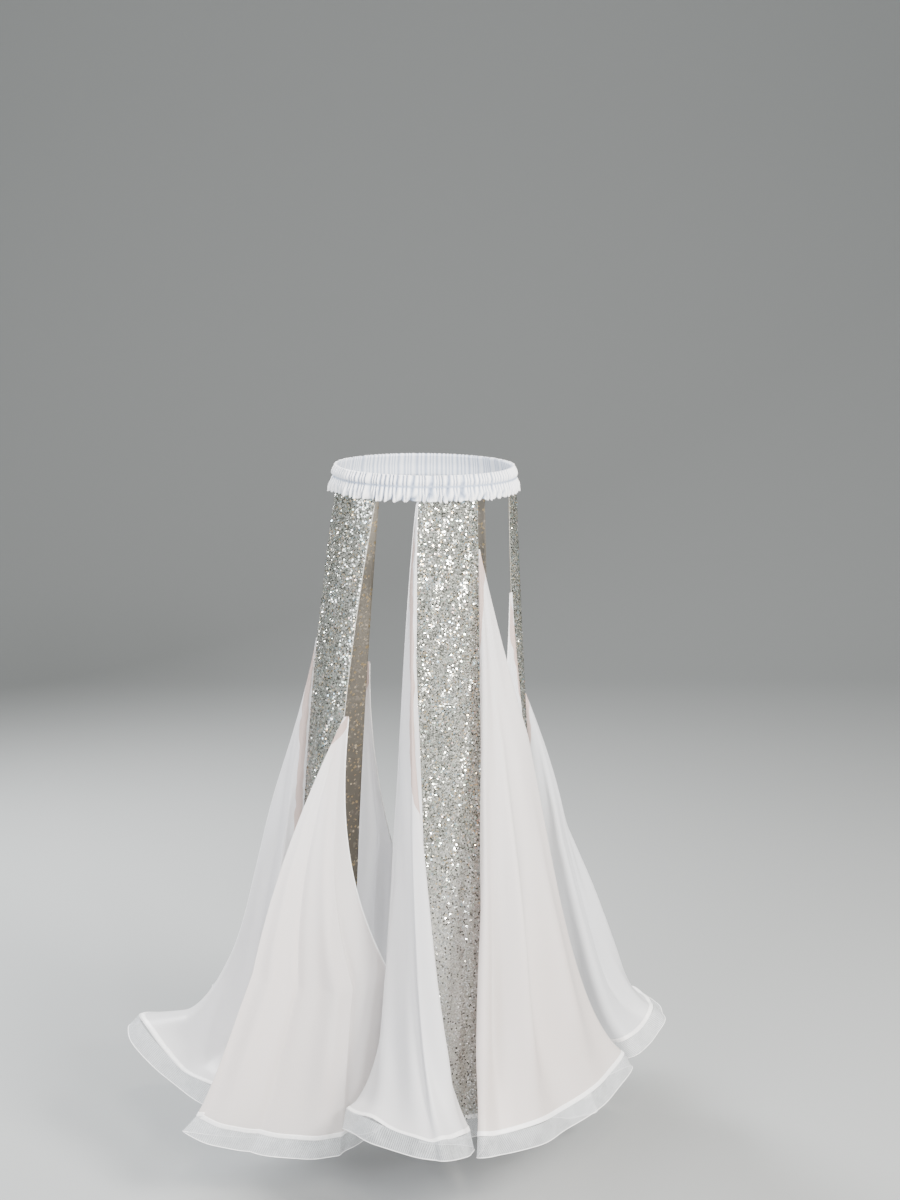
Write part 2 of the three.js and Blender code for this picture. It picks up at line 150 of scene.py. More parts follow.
# Soft creases down the godets: place across at the top and at the hem, width as a share of the godet,
# depth (mm, positive is a ridge) and the shares of the length where the crease begins and is full.
CREASES = {
    "front_left_1": [
        (0.3, 0.25, 0.045, 4.5, 0.35, 0.8), (0.36, 0.34, 0.04, -3.5, 0.4, 0.85),
        (0.48, 0.45, 0.05, 5.5, 0.25, 0.75), (0.58, 0.54, 0.04, -4, 0.45, 0.9),
        (0.66, 0.62, 0.045, 5, 0.4, 0.85), (0.12, 0.11, 0.05, -3, 0.5, 0.95),
    ],
    "front_left_2": [(0.3, 0.25, 0.07, 3, 0.4, 0.9), (0.7, 0.65, 0.08, -3, 0.4, 0.9)],
    "side_left_1": [
        (0.3, 0.26, 0.05, 4, 0.45, 0.9), (0.42, 0.4, 0.045, -4, 0.5, 0.9),
        (0.58, 0.56, 0.05, 5, 0.45, 0.95), (0.8, 0.78, 0.05, -4, 0.5, 0.9),
    ],
    "side_left_2": [
        (0.2, 0.18, 0.05, -4, 0.4, 0.9), (0.4, 0.38, 0.05, 5, 0.4, 0.9),
        (0.66, 0.68, 0.05, 4, 0.5, 0.95),
    ],
    "back_1": [
        (0.22, 0.2, 0.05, -4.5, 0.4, 0.9), (0.38, 0.36, 0.045, 5, 0.35, 0.85),
        (0.62, 0.6, 0.05, -4, 0.5, 0.95), (0.8, 0.8, 0.045, 4, 0.45, 0.9),
    ],
    "back_2": [
        (0.24, 0.26, 0.05, 4.5, 0.45, 0.9), (0.44, 0.42, 0.045, -4, 0.4, 0.9),
        (0.6, 0.62, 0.05, 5, 0.5, 0.95), (0.84, 0.82, 0.045, -3.5, 0.5, 0.9),
    ],
    "side_right_1": [
        (0.26, 0.24, 0.05, 4, 0.45, 0.95), (0.5, 0.5, 0.05, -4, 0.45, 0.9),
        (0.74, 0.76, 0.045, 4.5, 0.4, 0.9),
    ],
    "side_right_2": [
        (0.14, 0.12, 0.045, -3, 0.5, 0.9), (0.26, 0.22, 0.04, 4.5, 0.45, 0.9),
        (0.36, 0.33, 0.04, -4.5, 0.5, 0.95), (0.46, 0.43, 0.04, 4.5, 0.55, 0.95),
        (0.7, 0.7, 0.05, -4, 0.5, 0.9),
    ],
    "front_right_1": [
        (0.38, 0.36, 0.04, 2.8, 0.4, 0.85), (0.52, 0.5, 0.05, -3.2, 0.35, 0.9),
        (0.64, 0.66, 0.045, 3.8, 0.4, 0.9), (0.78, 0.8, 0.04, -2.8, 0.5, 0.9),
    ],
    "front_right_2": [
        (0.16, 0.14, 0.04, 3, 0.25, 0.8), (0.3, 0.26, 0.04, -4, 0.35, 0.85),
        (0.44, 0.38, 0.045, 5.5, 0.3, 0.85), (0.56, 0.52, 0.04, -5, 0.4, 0.9),
        (0.7, 0.66, 0.04, 5, 0.45, 0.9), (0.82, 0.84, 0.04, -3.5, 0.5, 0.92),
    ],
}

# Long soft ripples of the sequin panels, in the same columns as the creases.
PANEL_RIPPLES = {
    "front": [
        (0.28, 0.22, 0.08, -4.5, 0.4, 0.9), (0.5, 0.46, 0.08, 5, 0.35, 0.9),
        (0.72, 0.7, 0.07, -4.5, 0.45, 0.95), (0.62, 0.62, 0.1, 2, 0.08, 0.3),
    ],
    "left": [(0.3, 0.32, 0.1, 2.5, 0.2, 0.7), (0.66, 0.6, 0.1, -2.5, 0.3, 0.8)],
    "back_left": [(0.34, 0.3, 0.1, -2.5, 0.3, 0.8), (0.7, 0.68, 0.1, 2.5, 0.2, 0.8)],
    "back_right": [(0.3, 0.34, 0.1, 2.5, 0.25, 0.8), (0.64, 0.66, 0.1, -2.5, 0.3, 0.8)],
    "right": [(0.3, 0.3, 0.1, -2, 0.2, 0.6), (0.6, 0.56, 0.1, 2.5, 0.3, 0.8)],
}

GODET_COLUMNS = 97
GODET_ROWS = 129
PANEL_COLUMNS = 25
PANEL_ROWS = 241
PANEL_ACROSS = np.linspace(0, 1, PANEL_COLUMNS)
PANEL_DOWN = np.linspace(0, 1, PANEL_ROWS)
GODET_ACROSS = np.linspace(0, 1, GODET_COLUMNS)
PANEL_SHELL = 0.8
TUBE_TIP = 0.02
ROLL_TIP = 0.05
ROLL_TOP = 7
ROLL_HALF_WIDTH = 3.4
ROLLED_RADIUS = 0.8
CREASE_NARROWING = 0.8
HEM_EASE = 0.6
HEM_EASE_FROM = 0.86
GODET_WANDER = 1.7
WANDER_WAVES = 6
ALLOWANCE = 11
BAND_SAMPLES = 1200
BAND_OUTER_ROWS = 27
BAND_INNER_ROWS = 9

# Camera: direction of view from the front, lens (mm), distance and height from the waist (m), turn and
# tilt (radians).
VIEW_TURN = math.radians(17)
CAMERA_LENS = 46.44
CAMERA_DISTANCE = 2.2
CAMERA_HEIGHT = 0.15
CAMERA_YAW = 0.0158
CAMERA_PITCH = 0.1482
SKY_STRENGTH = 0.62
LAMP_TARGET = Vector((0, 0, -0.45))

# Sequins: width that they cover (mm), unevenness (steps), share left out low on the front panel, share sewn
# loosely and how much more those lean, lean of a streak, most lean (radians).
SEQUINED_WIDTH = 94
SEQUIN_JITTER = 0.12
SPARSE_SHARE = 0.5
LOOSE_SHARE = 0.18
LOOSE_LEAN = 2.4
STREAK_LEAN = math.radians(9)
MOST_LEAN = 0.9

# Sequins come in these tones: share of all, colour.
SEQUIN_TONES = [
    (0.34, "#a6a9a2"),
    (0.24, "#cccfc8"),
    (0.15, "#787a72"),
    (0.07, "#5c5d57"),
    (0.06, "#dfc9a0"),
    (0.05, "#c2d4c4"),
    (0.03, "#b4cfdc"),
    (0.01, "#e6c9c0"),
    (0.05, "#ffffff"),
]

# Low on the front panel they are sparser: pale net and a few dark discs.
SPARSE_TONES = [
    (0.60, "#ced0cf"),
    (0.25, "#e6e8e7"),
    (0.15, "#62605d"),
]


def unit(vectors):
    """Vectors of length 1."""
    return vectors / np.maximum(np.linalg.norm(vectors, axis=-1, keepdims=True), 1e-9)


def oval(angle, half_width, half_depth, shift=0):
    """(shift + w sin a, -d cos a), with a in degrees from the front toward the wearer's left."""
    turn = np.radians(angle)
    return np.stack([shift + half_width * np.sin(turn), -half_depth * np.cos(turn)], axis=-1)


def polar(angle, reach):
    return oval(angle, reach, reach)


def waist_point(angle):
    return oval(angle, WAIST_HALF_WIDTH, WAIST_HALF_DEPTH)


def hip_point(angle):
    return oval(angle, HIP_HALF_WIDTH, HIP_HALF_DEPTH, HIP_SHIFT)


def seam_height(angle):
    return -FRONT_DIP * np.cos(np.radians(angle)) - BAND_HEIGHT / 2 - SEAM_GAP


def hang(waist, hip, hem, share):
    """Parabola in share through the waist (0), hip (0.38) and hem (1) points."""
    s = share[..., None]
    at_waist = (s - HIP_STATION) * (s - 1) / HIP_STATION
    at_hip = s * (s - 1) / (HIP_STATION * (HIP_STATION - 1))
    at_hem = s * (s - HIP_STATION) / (1 - HIP_STATION)
    return waist * at_waist + hip * at_hip + hem * at_hem


def panel_plan(panel, across, share):
    """Plan of a panel: its edge of lower angle is at across 0, the other at 1."""
    across, share = np.broadcast_arrays(across, share)
    angle = panel["waist"] + (2 * across - 1) * panel["half"]
    outward = polar(panel["hem_angle"], 1.0)
    sideways = np.array([-outward[1], outward[0]])
    along_hem = ((across - 0.5) * PANEL_HEM_WIDTH)[..., None]
    hem = polar(panel["hem_angle"], panel["hem_reach"]) + sideways * along_hem
    hem = hem + outward * (PANEL_HEM_SAG * (1 - (2 * across - 1) ** 2))[..., None]
    hip = hip_point(angle) + polar(panel["waist"], 1.0) * (panel["hip_out"] * across)[..., None]
    return hang(waist_point(angle), hip, hem, share)


def joint_plan(gap, share):
    hem = polar(gap["hem_angle"], gap["hem_reach"])
    return hang(waist_point(gap["joint"]), hip_point(gap["joint"]), hem, share)


def curve_point(knots, crisp, across):
    """Cubic Hermite curve through the knots, tangents (next - previous) / 2 shortened by crisp."""
    last = len(knots) - 1
    stack = np.stack(knots)
    ahead = np.concatenate([stack[1:], stack[-1:]])
    behind = np.concatenate([stack[:1], stack[:-1]])
    tangent = (ahead - behind) * 0.5 * (1 - crisp)
    tangent[[0, last]] *= 2
    span = np.minimum((across * last).astype(int), last - 1)
    t = (across * last - span)[..., None]

    def pick(field, index):
        return np.take_along_axis(field, index[None, ..., None], axis=0)[0]

    return (
        pick(stack, span) * (2 * t**3 - 3 * t**2 + 1)
        + pick(tangent, span) * (t**3 - 2 * t**2 + t)
        + pick(stack, span + 1) * (3 * t**2 - 2 * t**3)
        + pick(tangent, span + 1) * (t**3 - t**2)
    )


def growth(grown, godet, kick):
    """(1 - kick) g^fall + kick g^10 down to the hem, and on at a slope of 2 down the braid."""
    inside = np.minimum(grown, 1)
    flare = BRAID_FLARE * np.maximum(grown - 1, 0)
    return (1 - kick) * inside ** godet["fall"] + kick * inside**KICK_POWER + flare


def godet_place(index):
    """The gap of a godet, the panel that it is sewn to and that panel's edge."""
    gap = GAPS[index // 2]
    if index % 2 == 0:
        return gap, PANELS[index // 2], 1.0
    return gap, PANELS[(index // 2 + 1) % len(PANELS)], 0.0


def godet_plan(index, across, share):
    """Plan of a godet: across is 0 at its panel and 1 at the free edge, or at the joint below the slit."""
    across, share = np.broadcast_arrays(across, share)
    godet = GODETS[index]
    gap, panel, edge = godet_place(index)
    seam = panel_plan(panel, edge, share)
    joint = joint_plan(gap, share)
    down = np.maximum(share - godet["start"], 0) / (gap["foot"] - godet["start"])
    opened = POINT_SHARE + (1 - POINT_SHARE) * np.minimum(down, 1) ** godet["free"]
    free = seam + (joint - seam) * opened[..., None]
    grown = np.maximum(share - godet["start"], 0) / (1 - godet["start"])
    hem = np.float64(1)
    seam_hem = panel_plan(panel, edge, hem)
    joint_hem = joint_plan(gap, hem)
    outward = polar(panel["waist"], 1.0)
    knots = [seam]
    for i, (angle, reach) in enumerate(godet["folds"]):
        along = (i + 1) / 4
        bulge = polar(angle, reach) - (seam_hem + (joint_hem - seam_hem) * along)
        size = growth(grown, godet, godet["joint_kick" if i == 2 else "kick"])
        knots.append(seam + (free - seam) * along + bulge * size[..., None] + outward * LEAST_LIFT)
    knots.append(free)
    return curve_point(knots, godet["crisp"], across)


def thread_heights(plan, top, length, start, across, shares):
    """Height at each share of threads that keep their length: dz = -sqrt((L ds)^2 - |d plan|^2)."""
    fine = np.linspace(start, BRAID_FOOT, THREAD_SAMPLES + 1)
    points = plan(across, fine[:, None])
    run = np.linalg.norm(np.diff(points, axis=0), axis=-1)
    step = (fine[1] - fine[0]) * length
    drop = np.sqrt(np.maximum(step**2 - run**2, (LEAST_FALL * step) ** 2))
    heights = np.concatenate([np.zeros((1, len(across))), -np.cumsum(drop, axis=0)]) + top
    sample = np.clip((shares - start) / (fine[1] - fine[0]), 0, THREAD_SAMPLES - 1e-6)
    below = sample.astype(int)
    part = (sample - below)[:, None]
    return heights[below] * (1 - part) + heights[below + 1] * part


def panel_grid(panel, across, shares):
    """Points (x, y, z)(share, across) of a panel's middle surface."""
    plan = partial(panel_plan, panel)
    top = seam_height(panel["waist"] + (2 * across - 1) * panel["half"])
    heights = thread_heights(plan, top, CLOTH_LENGTH, 0.0, across, shares)
    return np.concatenate([plan(across, shares[:, None]), heights[..., None]], axis=-1)


def godet_grid(index, across, shares):
    """Points (x, y, z)(share, across) of a godet's middle surface.

    The outer threads take the heights of the seam and the joint, and those between follow in part.
    """
    godet = GODETS[index]
    gap, panel, edge = godet_place(index)
    start = godet["start"]
    top = panel_grid(panel, np.array([edge]), np.array([start]))[0, 0, 2]
    plan = partial(godet_plan, index)

    def joint(u, s):
        return joint_plan(gap, np.broadcast_arrays(u, s)[1])

    length = CLOTH_LENGTH * (1 + (godet["stretch"] - 1) * (1 - (2 * across - 1) ** 2))
    fall = thread_heights(plan, top, length, start, across, shares)
    ends = thread_heights(plan, top, np.full(2, CLOTH_LENGTH), start, np.array([0.0, 1.0]), shares)
    seam = panel_grid(panel, np.array([edge]), shares)[:, 0, 2]
    top_of_joint = seam_height(gap["joint"])
    joint_fall = thread_heights(joint, top_of_joint, CLOTH_LENGTH, 0.0, np.array([1.0]), shares)[:, 0]
    closed = np.clip((shares - start) / (gap["foot"] - start), 0, 1)
    seam_draw = (1 - across) * (seam - ends[:, 0])[:, None]
    joint_draw = across * (closed * (joint_fall - ends[:, 1]))[:, None]
    heights = fall + seam_draw + joint_draw
    return np.concatenate([plan(across, shares[:, None]), heights[..., None]], axis=-1)


def smooth_step(low, high, value):
    t = np.clip((value - low) / (high - low), 0, 1)
    return t * t * (3 - 2 * t)


def crease_depth(creases, u, shares):
    """Sum of depth exp(-((u - line(s)) / narrowed width)^2) rise(s), held to nothing at both edges.

    The braid is stiff and spreads the hem, so the creases lose more than half of their depth there.
    """
    s = shares[:, None]
    total = np.zeros((len(shares), len(u)))
    for at_top, at_hem, width, depth, begin, full in creases:
        line = at_top + (at_hem - at_top) * s
        shape = np.exp(-(((u - line) / (CREASE_NARROWING * width)) ** 2))
        total += depth * shape * smooth_step(begin, full, s)
    return total * (1 - (2 * u - 1) ** 8) * (1 - HEM_EASE * smooth_step(HEM_EASE_FROM, 1, s))


def wander(u, shares, seed, size):
    """Slight unevenness of hanging cloth: a few long sines, none at the edges."""
    rng = np.random.default_rng(seed)
    s = shares[:, None]
    total = np.zeros((len(shares), len(u)))
    for _ in range(WANDER_WAVES):
        around, along = rng.uniform(1.5, 6.5), rng.uniform(0.8, 3.2)
        turn = rng.uniform(0, 2 * np.pi)
        total += np.sin(2 * np.pi * (around * u + along * s) + turn)
    return total * size / WANDER_WAVES * (1 - (2 * u - 1) ** 4)


def surface_normals(points, side=1):
    """Unit normals of a grid, down x along."""
    down = np.gradient(points, axis=0)
    along = np.gradient(points, axis=1)
    return unit(np.cross(down, along) * side)


def grid_faces(rows, columns, close_rows=False, close_columns=False, offset=0):
    """Quads of a grid in row order, facing down x along."""
    index = np.arange(rows * columns).reshape(rows, columns)
    if close_rows:
        index = np.concatenate([index, index[:1]])
    if close_columns:
        index = np.concatenate([index, index[:, :1]], axis=1)
    quads = np.stack([index[:-1, :-1], index[1:, :-1], index[1:, 1:], index[:-1, 1:]], axis=-1)
    return quads.reshape(-1, 4) + offset


def cloth_lengths(points):
    """Distances across and down the cloth at each point of a grid, in metres, for the UV map."""
    across = np.linalg.norm(np.diff(points, axis=1, prepend=points[:, :1]), axis=-1).cumsum(axis=1)
    down = np.linalg.norm(np.diff(points, axis=0, prepend=points[:1]), axis=-1).cumsum(axis=0)
    return np.stack([across, down], axis=-1).reshape(-1, 2) * MM


def rings(lines, offsets, tips, flips):
    """Closed skins round lines: points line + offset, drawn in to tip times the offset at both ends."""
    vertices, faces = [], []
    count = 0
    for line, offset, flip in zip(lines, offsets, flips):
        size = np.ones(len(line))
        size[[0, -1]] = tips
        quads = grid_faces(len(line), offset.shape[1], close_columns=True, offset=count)
        faces.append(quads[:, ::-1] if flip else quads)
        vertices.append((line[:, None] + offset * size[:, None, None]).reshape(-1, 3))
        count += len(line) * offset.shape[1]
    return np.concatenate(vertices), np.concatenate(faces)


def tubes(lines, radius, sides=8):
    """Tubes along lines: line + radius (cos a flat + sin a up)."""
    turn = 2 * np.pi * np.arange(sides) / sides
    offsets = []
    for line in lines:
        way = unit(np.gradient(line, axis=0))
        flat = unit(np.cross(way, np.array([0.0, 0.0, 1.0])))
        up = np.cross(flat, way)
        ring = flat[:, None] * np.cos(turn)[:, None] + up[:, None] * np.sin(turn)[:, None]
        offsets.append(ring * radius)
    return rings(lines, offsets, TUBE_TIP / radius, [True] * len(lines))


def linear(hex_colour):
    """Scene-linear RGBA of an sRGB hex colour."""
    values = [int(hex_colour[i : i + 2], 16) / 255 for i in (1, 3, 5)]
    return [v / 12.92 if v <= 0.04045 else ((v + 0.055) / 1.055) ** 2.4 for v in values] + [1.0]


def add_object(name, vertices, faces, materials, uv=None, slots=None, smooth=True):
    """Mesh object at the origin from points in millimetres."""
    if len(vertices) == 0 or len(faces) == 0:
        raise RuntimeError(f"{name} has no surface")
    mesh = bpy.data.meshes.new(name)
    mesh.from_pydata((np.asarray(vertices) * MM).tolist(), [], np.asarray(faces).tolist())
    for material in materials:
        mesh.materials.append(material)
    if slots is not None:
        mesh.polygons.foreach_set("material_index", np.asarray(slots, dtype=np.int32))
    mesh.polygons.foreach_set("use_smooth", np.full(len(faces), smooth))
    if uv is not None:
        layer = mesh.uv_layers.new(name="cloth")
        layer.data.foreach_set("uv", uv[np.asarray(faces).ravel()].astype(np.float32).ravel())
    mesh.update()
    thing = bpy.data.objects.new(name, mesh)
    bpy.context.collection.objects.link(thing)
    return thing


def point_values(thing, name, values):
    """Stores one number a vertex on a mesh."""
    layer = thing.data.attributes.new(name=name, type="FLOAT", domain="POINT")
    layer.data.foreach_set("value", np.asarray(values, dtype=np.float32).ravel())


def face_colours(thing, name, colours):
    """Stores one linear RGBA colour a face on a mesh, on its corners."""
    layer = thing.data.color_attributes.new(name=name, type="FLOAT_COLOR", domain="CORNER")
    corners = np.repeat(np.asarray(colours, dtype=np.float32), len(thing.data.polygons[0].vertices), axis=0)
    layer.data.foreach_set("color", corners.ravel())


def node(material, kind, settings=None, links=None, **inputs):
    """Adds a shader node: attributes from settings, socket values from inputs, links {socket: output}."""
    made = material.node_tree.nodes.new("ShaderNode" + kind)
    for key, value in (settings or {}).items():
        setattr(made, key, value)
    for key, value in inputs.items():
        made.inputs[key.replace("_", " ")].default_value = value
    for key, output in (links or {}).items():
        material.node_tree.links.new(output, made.inputs[key])
    return made


def principled(material, colour=None, **inputs):
    """Surface of a principled shader. Colour, Normal and Metallic may be another node's output."""
    links = {} if colour is None else {"Base Color": colour}
    for key in ("Normal", "Metallic"):
        if isinstance(inputs.get(key), bpy.types.NodeSocket):
            links[key] = inputs.pop(key)
    return node(material, "BsdfPrincipled", links=links, **inputs).outputs["BSDF"]


def maths(material, operation, *terms):
    """Result of a maths node. Each term is a number or another node's output."""
    made = node(material, "Math", {"operation": operation})
    for socket, term in zip(made.inputs, terms):
        if isinstance(term, bpy.types.NodeSocket):
            material.node_tree.links.new(term, socket)
        else:
            socket.default_value = term
    return made.outputs["Value"]


def place(material):
    """Object coordinates, in metres."""
    return node(material, "TexCoord").outputs["Object"]


def cloth_map(material):
    """Distances across and down the cloth, in metres."""
    return node(material, "UVMap", {"uv_map": "cloth"}).outputs["UV"]


def noise(material, where, scale, detail=2, roughness=0.5):
    """Noise of scale cells a metre, from 0 to 1."""
    grain = {"Scale": scale, "Detail": detail, "Roughness": roughness}
    return node(material, "TexNoise", links={"Vector": where}, **grain).outputs["Fac"]


def bump(material, height, strength):
    """Normals of a weave 0.3 mm deep."""
    made = node(material, "Bump", links={"Height": height}, Strength=strength, Distance=0.0003)
    return made.outputs["Normal"]


def stored(material, name, kind="Fac"):
    """Value or colour kept on the mesh under a name."""
    return node(material, "Attribute", {"attribute_name": name}).outputs[kind]


def new_material(name):
    material = bpy.data.materials.new(name)
    material.use_nodes = True
    material.node_tree.nodes.clear()
    return material


def finish_material(material, shader):
    output = node(material, "OutputMaterial")
    material.node_tree.links.new(shader, output.inputs["Surface"])
    return material


def ramp(material, factor, stops, stepped=False):
    """Colour ramp on a factor: stops are (position, hex colour)."""
    made = node(material, "ValToRGB", links={"Fac": factor})
    made.color_ramp.interpolation = "CONSTANT" if stepped else "LINEAR"
    elements = made.color_ramp.elements
    while len(elements) < len(stops):
        elements.new(0.5)
    for element, (position, colour) in zip(elements, stops):
        element.position = position
        element.color = linear(colour)
    return made.outputs["Color"]


def casing_satin():
    """White satin of the elastic casing, with the fine crosswise weave of the cloth and painted shade in the
    gathers.
    """
    m = new_material("White casing satin")
    # Painted shade: the ramp makes the cloth greyer and bluer in the gather valleys, in the frill's folds
    # and along the stitch line, where shade falls.
    stops = [(0.0, "#76839e"), (0.45, "#a9b5c9"), (0.72, "#e3e8f0"), (0.95, "#fdfdff")]
    tone = ramp(m, stored(m, "gather"), stops)
    weave = bump(m, noise(m, place(m), 420, 3), 0.25)
    finish = {"Roughness": 0.48, "Sheen_Weight": 0.25, "Sheen_Roughness": 0.4}
    return finish_material(m, principled(m, tone, Normal=weave, **finish))


def sequin_ground():
    """Grey mesh ground that the sequins are sewn on, seen between them."""
    m = new_material("Grey sequin mesh")
    # The net's 0.6 mm holes are drawn at 1.6 mm, so that they survive at this distance.
    net = node(m, "TexVoronoi", links={"Vector": cloth_map(m)}, Scale=620)
    tone = ramp(m, net.outputs["Distance"], [(0.1, "#c4c5c2"), (0.6, "#96968f")])
    return finish_material(m, principled(m, tone, Roughness=0.6))


def sequin_wrong_side():
    """Wrong side of the sequin cloth: grey-brown net, darker and browner than the right side partly as
    painted shade, with some sequin cells coloured gold and metallic as a painted reflection of gold light.
    """
    m = new_material("Sequin cloth wrong side")
    cells = node(m, "TexVoronoi", links={"Vector": cloth_map(m)}, Scale=340)
    pick = node(m, "SeparateColor", links={"Color": cells.outputs["Color"]}).outputs["Red"]
    # Painted reflection: the top cells are gold, for gold light caught by the sequins; the dark brown of the
    # net is partly painted shade.
    net_and_glint_stops = [(0.0, "#6c6860"), (0.8, "#857f75"), (0.9, "#c8b48e"), (0.97, "#efe2c6")]
    film = maths(m, "GREATER_THAN", pick, 0.9)
    return finish_material(m, principled(m, ramp(m, pick, net_and_glint_stops, True), Metallic=film, Roughness=0.45))


def silver_sequin():
    """Silver holographic sequins: metallised film, each disc with its own tone."""
    m = new_material("Silver holographic sequin")
    return finish_material(m, principled(m, stored(m, "tone", "Color"), Metallic=0.9, Roughness=0.2))


def chiffon(opacity):
    """White chiffon: soft, slightly see-through, a little warmer low in the middle of the skirt, where a
    painted yellowish tint stands in for gold light from the figure behind it.
    """
    m = new_material("White chiffon")
    where = place(m)
    # Painted gold light: the stored tint pushes the ramp from cool white toward pinkish yellow, over soft
    # random patches of tone.
    painted_gold_light = maths(m, "MULTIPLY_ADD", noise(m, where, 5), 0.3, stored(m, "painted_gold_light"))
    tone = ramp(m, painted_gold_light, [(0.15, "#eef1f6"), (0.6, "#f1eeee"), (1.0, "#efe6e2")])
    # The seam allowance shows through as a wavy pinkish strip (mm) beside the panel.
    strip_width = 12
    waver_size = 4.5
    bent = maths(m, "MULTIPLY_ADD", noise(m, where, 38, 1), 2 * waver_size, stored(m, "allowance"))
    strip = maths(m, "COMPARE", bent, waver_size, strip_width / 2)
    faint = maths(m, "MULTIPLY", strip, 0.85)
    mixed = node(m, "Mix", {"data_type": "RGBA"}, {"Factor": faint, 6: tone})
    mixed.inputs[7].default_value = linear("#c9afa5")
    tone = mixed.outputs[2]
    # The 0.3 mm threads are drawn at 1.2 mm.
    weave = bump(m, noise(m, cloth_map(m), 900), 0.12)
    finish = {"Roughness": 0.42, "Sheen_Weight": 0.3, "Sheen_Roughness": 0.35}
    skin = principled(m, tone, Normal=weave, **finish)
    glow = node(m, "BsdfTranslucent", links={"Color": tone}).outputs["BSDF"]
    lit = node(m, "MixShader", links={1: skin, 2: glow}, Fac=0.3).outputs["Shader"]
    clear = node(m, "BsdfTransparent").outputs["BSDF"]
    shader = node(m, "MixShader", links={1: clear, 2: lit}, Fac=opacity)
    return finish_material(m, shader.outputs["Shader"])


def horsehair(opacity):
    """Horsehair braid: a see-through nylon net woven on the bias."""
    m = new_material("Horsehair braid")
    cloth = cloth_map(m)
    # The 1.2 mm pitch of the threads is drawn at 2.4 mm.
    mirror = node(m, "Mapping", links={"Vector": cloth}, Scale=(-1, 1, 1)).outputs["Vector"]
    slanted = {"bands_direction": "DIAGONAL"}
    sets = [node(m, "TexWave", slanted, {"Vector": way}, Scale=210) for way in (cloth, mirror)]
    threads = maths(m, "MAXIMUM", *[threads.outputs["Fac"] for threads in sets])
    patchy = {"Value": maths(m, "ADD", threads, noise(m, place(m), 34, 6, 0.75))}
    limits = {"From_Min": 1.05, "From_Max": 1.55, "To_Min": opacity - 0.3, "To_Max": opacity + 0.3}
    cover = node(m, "MapRange", links=patchy, **limits)
    skin = principled(m, Base_Color=linear("#e2e6ea"), Roughness=0.35)
    clear = node(m, "BsdfTransparent").outputs["BSDF"]
    shader = node(m, "MixShader", links={"Fac": cover.outputs["Result"], 1: clear, 2: skin})
    return finish_material(m, shader.outputs["Shader"])


def hem_satin():
    """Bright white satin of the turned hem, the rolled edges and the braid's outer cord."""
    m = new_material("Bright hem satin")
    tone = ramp(m, noise(m, place(m), 260), [(0.3, "#f1f2f5"), (0.7, "#ffffff")])
    return finish_material(m, principled(m, tone, Roughness=0.45, Sheen_Weight=0.2))


def painted_floor():
    """Matt pale grey studio floor and backdrop."""
    m = new_material("Pale studio paint")
    return finish_material(m, principled(m, Base_Color=linear("#96999a"), Roughness=0.9))


def length_setting(name, description, default):
    """Setting in metres, shown as a distance."""
    kind = {"unit": "LENGTH", "subtype": "DISTANCE"}
    return FloatProperty(name=name, description=description, default=default, **kind)


def share_setting(name, description, default):
    """Setting from 0 to 1."""
    return FloatProperty(name=name, description=description, default=default, min=0, max=1)


class SKIRT_PG_waistband(bpy.types.PropertyGroup):
    gathers: IntProperty(name="Gathers", description="Number of gathers", default=128, min=20, max=400)
    depth: length_setting("Gather depth", "Height of a gather", 0.0038)
    ruffle: length_setting("Ruffle", "How far the lower edge frills", 0.0052)


class SKIRT_PG_panels(bpy.types.PropertyGroup):
    ripple: FloatProperty(name="Ripple", description="Strength of the long ripples", default=1.0, min=0)


class SKIRT_PG_sequins(bpy.types.PropertyGroup):
    radius: length_setting("Radius", "Radius of a sequin", 0.0013)
    spacing: length_setting("Spacing", "Distance between rows", 0.0023)
    tilt: FloatProperty(
        name="Tilt",
        description="Usual lean of a sequin",
        default=math.radians(10),
        unit="ROTATION",
        subtype="ANGLE",
    )


class SKIRT_PG_godets(bpy.types.PropertyGroup):
    crease: FloatProperty(name="Crease", description="Strength of the soft creases", default=3.3, min=0)
    opacity: share_setting("Opacity", "How much of the light the chiffon stops", 0.9)


class SKIRT_PG_braid(bpy.types.PropertyGroup):
    cord: length_setting("Cord", "Radius of the outer cord", 0.0006)
    opacity: share_setting("Opacity", "How much of the light the braid stops", 0.5)


class SKIRT_PG_stage(bpy.types.PropertyGroup):
    floor: length_setting("Floor", "Height of the floor", -1.01)
    key: FloatProperty(name="Key", description="Power of the main light", default=250, unit="POWER")


class SKIRT_OT_waistband(bpy.types.Operator):
    """Add the gathered elastic casing"""

    bl_idname = "skirt.waistband"
    bl_label = "Waistband"

    def execute(self, context):
        settings = context.scene.skirt_waistband
        vertices, faces, uv, gather = waistband_surface(settings)
        band = add_object("casing", vertices, faces, [casing_satin()], uv)
        # The gather attribute holds painted shade for the casing's colour.
        point_values(band, "gather", gather)
        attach(band, "root")
        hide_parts("waistband")
        return {"FINISHED"}


